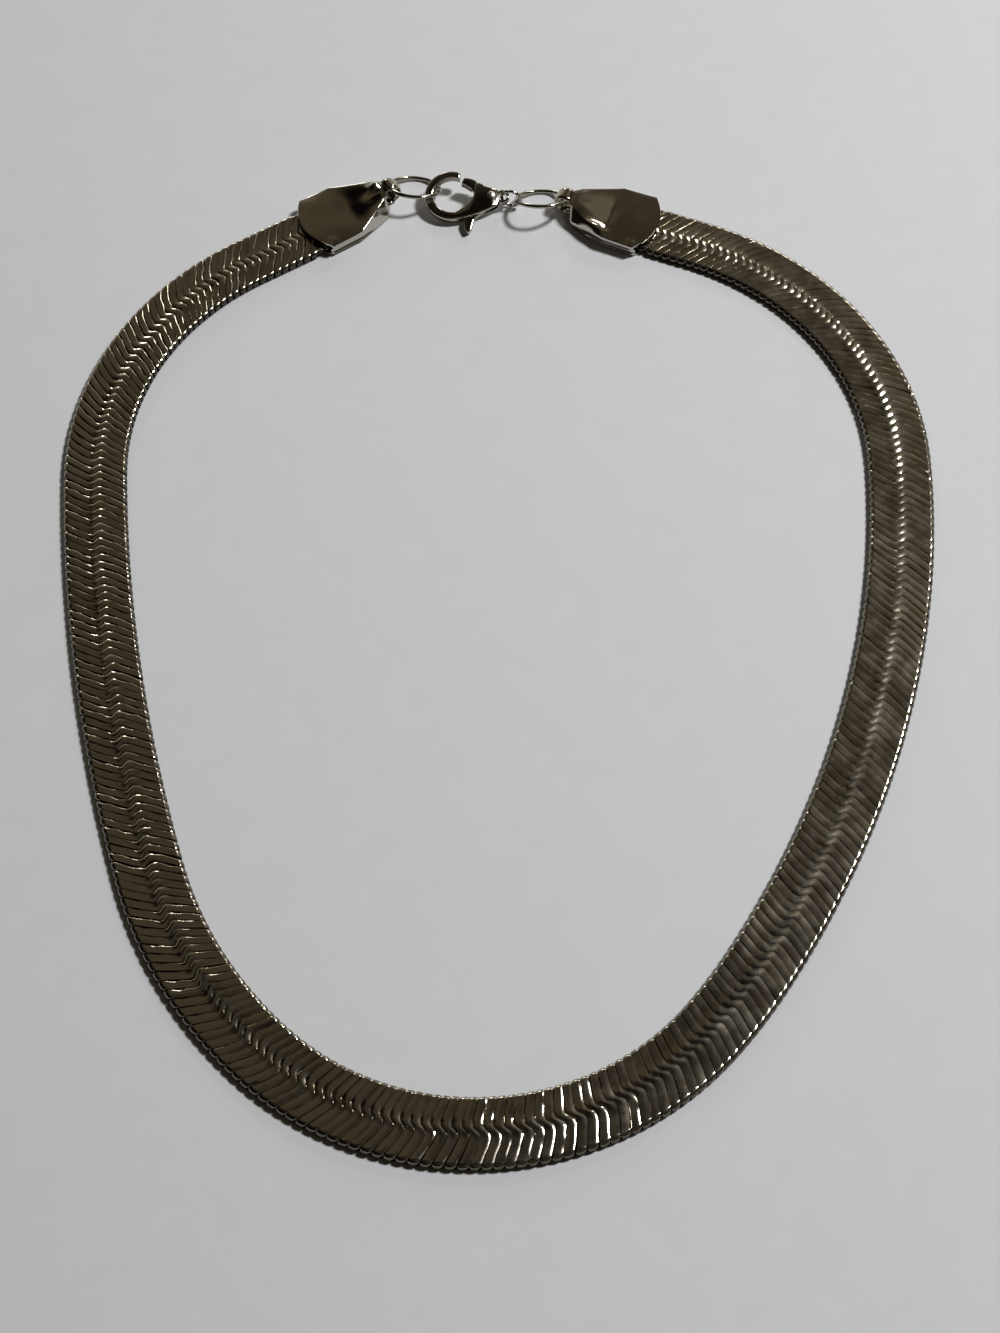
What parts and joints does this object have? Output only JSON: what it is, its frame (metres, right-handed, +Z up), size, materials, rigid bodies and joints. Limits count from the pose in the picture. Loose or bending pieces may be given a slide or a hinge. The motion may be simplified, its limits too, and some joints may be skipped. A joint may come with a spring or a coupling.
{
  "type": "flat herringbone chain necklace with folded end caps, jump rings and a lobster clasp",
  "caption": "Flat woven herringbone chain necklace laid in a closed loop, with folded sheet end caps, wire jump rings and a hinged lobster clasp.",
  "frame": {"origin": "centre of the bounding box in plan, on the surface that the necklace lies on", "axes": "+Y from the front of the neck towards the clasp, +Z up from the surface, +X to the right cap's side"},
  "size_m": [0.1358, 0.1742, 0.005],
  "materials": {
    "woven_links": "plated, polished, fine wear",
    "polished_plate": "plated, mirror polished sheet",
    "polished_wire": "plated, polished wire",
    "polished_casting": "plated, polished casting"
  },
  "bodies": {
    "necklace": {"chain": "woven_links", "end_cap_left": "polished_plate", "end_cap_right": "polished_plate", "jump_ring_left": "polished_wire", "jump_ring_right": "polished_wire", "tail_ring": "polished_wire", "clasp_body": "polished_casting", "clasp_rivet": "polished_casting"},
    "lever": {"clasp_lever": "polished_casting"}
  },
  "joints": [
    {"name": "clasp_lever_hinge", "type": "hinge", "parent": "necklace", "child": "lever", "pos_m": [0.00034, 0.08039, 0.00202], "axis": [0, -0.2588, 0.9659], "range_deg": [0, 22], "stiffness_Nm_per_rad": 0.004, "springref_deg": -20.05}
  ]
}
